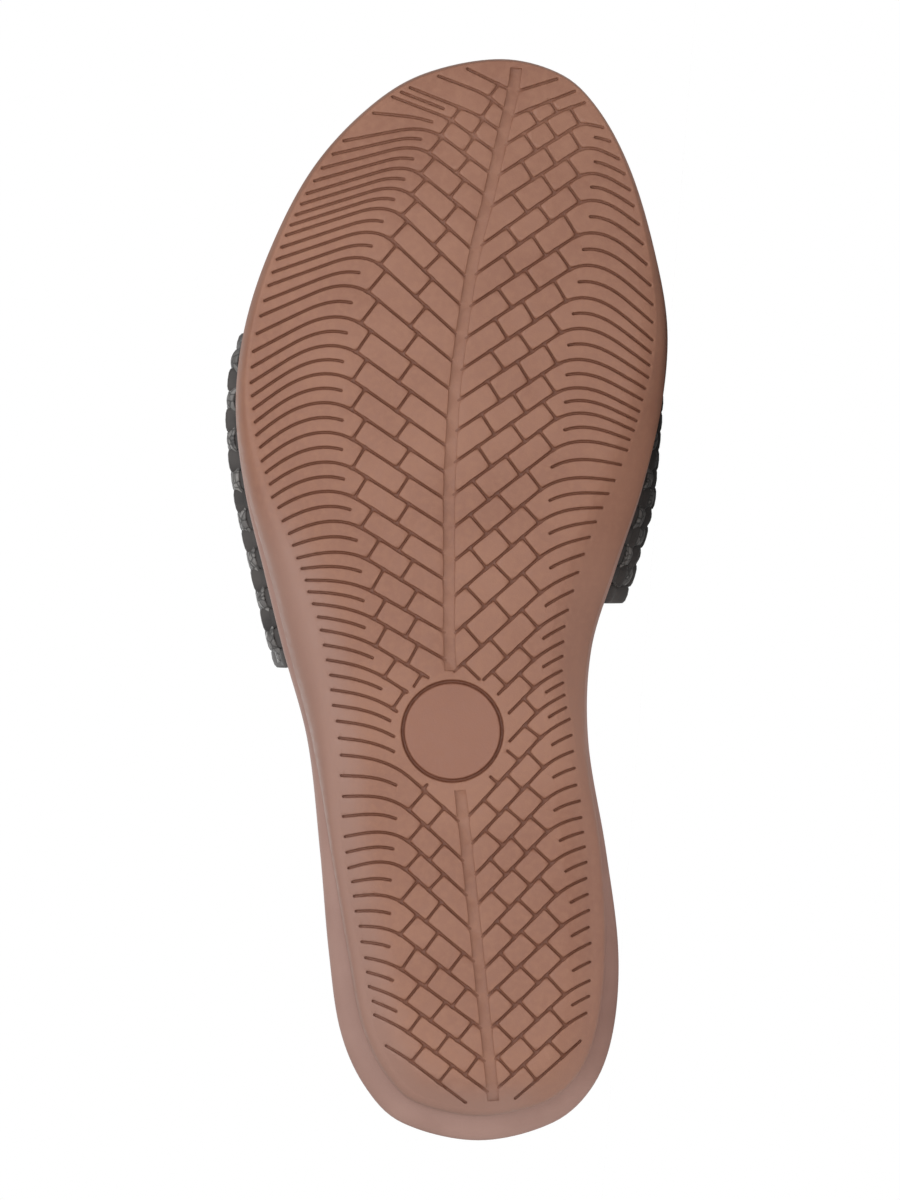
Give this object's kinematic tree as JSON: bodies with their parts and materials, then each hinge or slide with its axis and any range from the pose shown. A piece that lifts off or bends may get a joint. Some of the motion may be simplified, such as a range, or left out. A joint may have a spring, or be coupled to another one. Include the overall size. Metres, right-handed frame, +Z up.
{
  "type": "woven slide sandal",
  "caption": "Open slide sandal lying on its inner side: woven instep band on a moulded tan sole with a herringbone tread, curved sipes and a smooth round pad.",
  "frame": {"origin": "centre of the bounding box on the floor the sandal lies on", "axes": "+X along the sole from heel to toe, -Y the way the tread faces, +Z up from the floor to the outer side of the foot"},
  "size_m": [0.2596, 0.0896, 0.1058],
  "materials": {
    "outsole": "moulded, matt to satin",
    "midsole": "moulded foam with a smooth skin",
    "insole": "brushed microfibre",
    "upper": "woven strips of smooth and snake-print imitation leather"
  },
  "bodies": {
    "root": {"outsole": "outsole", "midsole": "midsole", "insole": "insole", "upper": "upper"}
  },
  "joints": []
}
